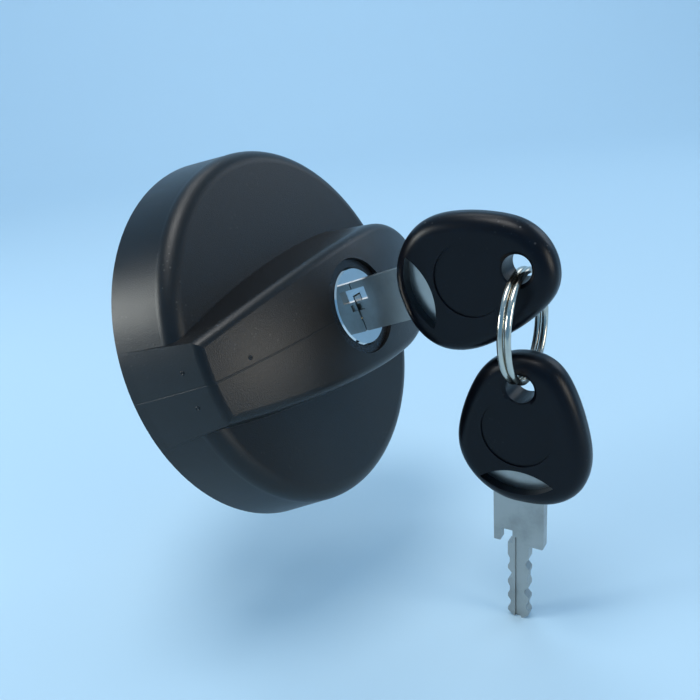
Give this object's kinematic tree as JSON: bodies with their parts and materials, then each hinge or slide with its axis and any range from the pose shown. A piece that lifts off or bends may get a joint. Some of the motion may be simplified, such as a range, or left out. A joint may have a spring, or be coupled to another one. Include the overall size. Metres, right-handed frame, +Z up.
{
  "type": "water tank filler cap",
  "caption": "Locking bayonet filler cap for a vehicle water tank: tapered grip, lock bolt worked by a key, gasketed plug, and a spare key hanging on a split ring.",
  "frame": {"origin": "on the cap's axis, in the plane of the skirt's back rim and the gasket's sealing face, where the filler neck begins", "axes": "+Z up as fitted on the side of a vehicle, X along the grip with its narrow end at -X; the cap's outward axis leans back 18 degrees from -Y, as the filler neck does"},
  "size_m": [0.08, 0.0978, 0.0987],
  "materials": {
    "cover_moulding": "fine-textured satin black moulding",
    "plug_moulding": "satin black moulding",
    "housing_casting": "black coated zinc die casting",
    "rotor_brass": "machined brass",
    "rotor_steel_face": "polished stainless pressing",
    "wafer_brass": "stamped brass",
    "spring_steel": "bright spring wire",
    "cam_zinc": "zinc plated steel",
    "screw_steel": "zinc plated steel",
    "bolt_zinc": "plain zinc casting",
    "seal_rubber": "soft black rubber",
    "blade_steel": "nickel plated steel",
    "bow_moulding": "satin black moulding",
    "ring_steel": "nickel plated wire"
  },
  "bodies": {
    "cap": {"grip_cover": "cover_moulding", "lock_housing": "housing_casting", "housing_clip": "spring_steel", "plug_body": "plug_moulding", "gasket": "seal_rubber", "cover_screws": "screw_steel", "bolt_carrier": "plug_moulding", "carrier_screws": "screw_steel", "plug_base": "plug_moulding"},
    "lock": {"lock_rotor": "rotor_brass", "rotor_face": "rotor_steel_face", "rotor_seal": "seal_rubber", "wafers": "wafer_brass", "wafer_springs": "spring_steel", "cam": "cam_zinc", "cam_screw": "screw_steel"},
    "bolt": {"lock_bolt": "bolt_zinc", "bolt_pin": "cam_zinc"},
    "key_1": {"key_1_blade": "blade_steel", "key_1_bow": "bow_moulding"},
    "ring": {"split_ring": "ring_steel"},
    "key_2": {"key_2_blade": "blade_steel", "key_2_bow": "bow_moulding"}
  },
  "joints": [
    {"name": "key_turn", "type": "hinge", "parent": "cap", "child": "lock", "pos_m": [0, 0, 0], "axis": [0, 0.9511, -0.309], "range_deg": [0, 90]},
    {"name": "bolt_draw", "type": "slide", "parent": "cap", "child": "bolt", "axis": [0, 0.309, 0.9511], "range_m": [-0.004, 0]},
    {"name": "key_1_pull", "type": "slide", "parent": "lock", "child": "key_1", "axis": [0, -0.9511, 0.309], "range_m": [0, 0.02]},
    {"name": "ring_swing", "type": "hinge", "parent": "key_1", "child": "ring", "pos_m": [0, -0.06168, 0.01789], "axis": [1, 0, 0], "range_deg": [-170, 8]},
    {"name": "key_2_swing", "type": "hinge", "parent": "ring", "child": "key_2", "pos_m": [0, -0.06168, -0.00286], "axis": [1, 0, 0], "range_deg": [-40, 10]}
  ],
  "couplings": [
    {"joint": "bolt_draw", "follows": "key_turn", "m_per_rad": -0.002546}
  ]
}
